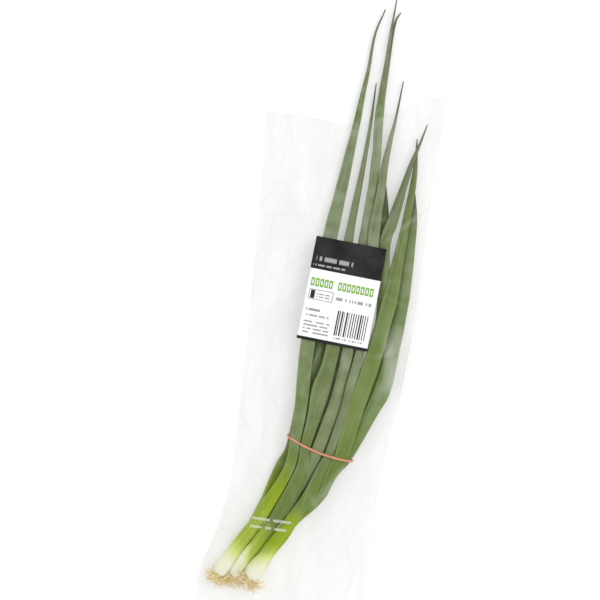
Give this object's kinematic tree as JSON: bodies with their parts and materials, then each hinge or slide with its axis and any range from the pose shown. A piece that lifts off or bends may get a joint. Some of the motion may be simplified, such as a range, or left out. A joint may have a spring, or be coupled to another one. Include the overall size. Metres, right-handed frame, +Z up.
{
  "type": "bagged bunch of green shallots",
  "caption": "Long green shallots with white shanks and root tufts, tied with a rubber band in a clear open film bag that carries a plain label.",
  "frame": {"origin": "middle of the outline, on the surface that the bag lies on", "axes": "+X across the bag, +Y along it from the roots to the leaf tips, +Z up away from the surface"},
  "size_m": [0.164, 0.558, 0.0207],
  "materials": {
    "leaf_green": "waxy living leaf",
    "shank_white": "moist white stem",
    "root_tan": "dry fibrous root",
    "band_rubber": "smooth orange-red rubber",
    "clear_film": "thin clear film",
    "label_paper": "coated white label"
  },
  "bodies": {
    "root": {"bag": "clear_film", "label": "label_paper", "rubber_band": "band_rubber", "leaves_left": "leaf_green", "leaves_middle": "leaf_green", "leaves_right": "leaf_green", "shank_left": "shank_white", "shank_middle": "shank_white", "shank_right": "shank_white", "roots_left": "root_tan", "roots_middle": "root_tan", "roots_right": "root_tan"}
  },
  "joints": []
}
